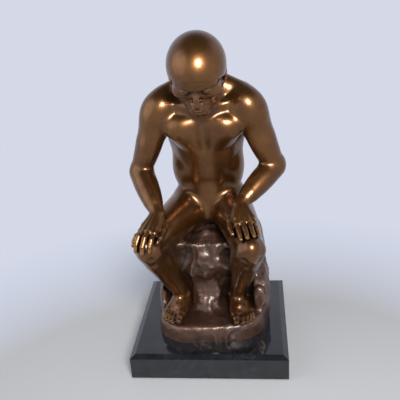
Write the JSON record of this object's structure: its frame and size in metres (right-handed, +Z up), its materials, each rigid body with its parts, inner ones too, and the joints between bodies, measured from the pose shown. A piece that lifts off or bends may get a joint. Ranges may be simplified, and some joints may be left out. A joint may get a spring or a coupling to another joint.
{
  "type": "seated figure statue",
  "caption": "Cast bronze statue of a seated contemplative figure on a rock, hands on the knees and head bowed, bolted to a bevelled black marble plinth with felt below.",
  "frame": {"origin": "middle of the felt's underside, on the surface that the statue stands on", "axes": "+Z up, the figure faces -Y, its left side is at +X"},
  "size_m": [0.1853, 0.174, 0.3826],
  "materials": {
    "figure_bronze": "waxed brown patina",
    "rock_bronze": "rough dark patina",
    "plain_bronze": "as machined",
    "marble": "polished",
    "felt": "pressed felt",
    "steel": "zinc plated"
  },
  "bodies": {
    "root": {"felt_sheet": "felt", "head": "figure_bronze", "left_ankle_pin": "plain_bronze", "left_arm": "figure_bronze", "left_foot": "figure_bronze", "left_hand": "figure_bronze", "left_hip_sleeve": "plain_bronze", "left_leg": "figure_bronze", "left_shoulder_sleeve": "plain_bronze", "left_sole_pin": "plain_bronze", "left_wrist_pin": "plain_bronze", "marble_plinth": "marble", "mounting_bolts": "steel", "mounting_washers": "steel", "neck_sleeve": "plain_bronze", "right_ankle_pin": "plain_bronze", "right_arm": "figure_bronze", "right_foot": "figure_bronze", "right_hand": "figure_bronze", "right_hip_sleeve": "plain_bronze", "right_leg": "figure_bronze", "right_shoulder_sleeve": "plain_bronze", "right_sole_pin": "plain_bronze", "right_wrist_pin": "plain_bronze", "rock_seat": "rock_bronze", "seat_pins": "plain_bronze", "torso": "figure_bronze"}
  },
  "joints": []
}
